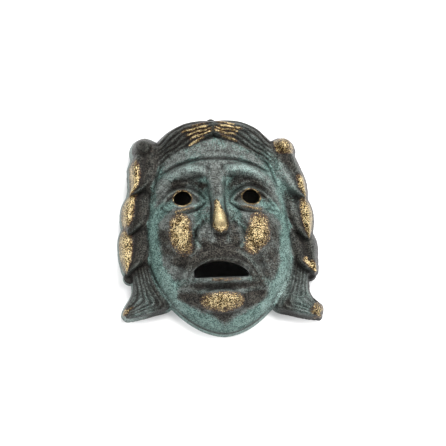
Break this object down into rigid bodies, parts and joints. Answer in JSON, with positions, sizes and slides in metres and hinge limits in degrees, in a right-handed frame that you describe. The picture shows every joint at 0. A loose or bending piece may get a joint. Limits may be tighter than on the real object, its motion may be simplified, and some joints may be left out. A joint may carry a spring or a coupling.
{
  "type": "bronze theatre mask",
  "caption": "Cast bronze tragic mask with wavy parted hair, side locks, pierced eyes and open mouth, hollow behind, to hang on a wall.",
  "frame": {"origin": "middle of the mask's outer box, in the plane of the flat rim that it lies on", "axes": "+Z out of the face, +Y from the chin to the hair, +X to the right when looking at the face"},
  "size_m": [0.1332, 0.1432, 0.045],
  "materials": {
    "bronze": "cast bronze with a dark grey-brown patina, green verdigris in the hollows and speckled bare gold on the high places"
  },
  "bodies": {
    "root": {"mask": "bronze"}
  },
  "joints": []
}
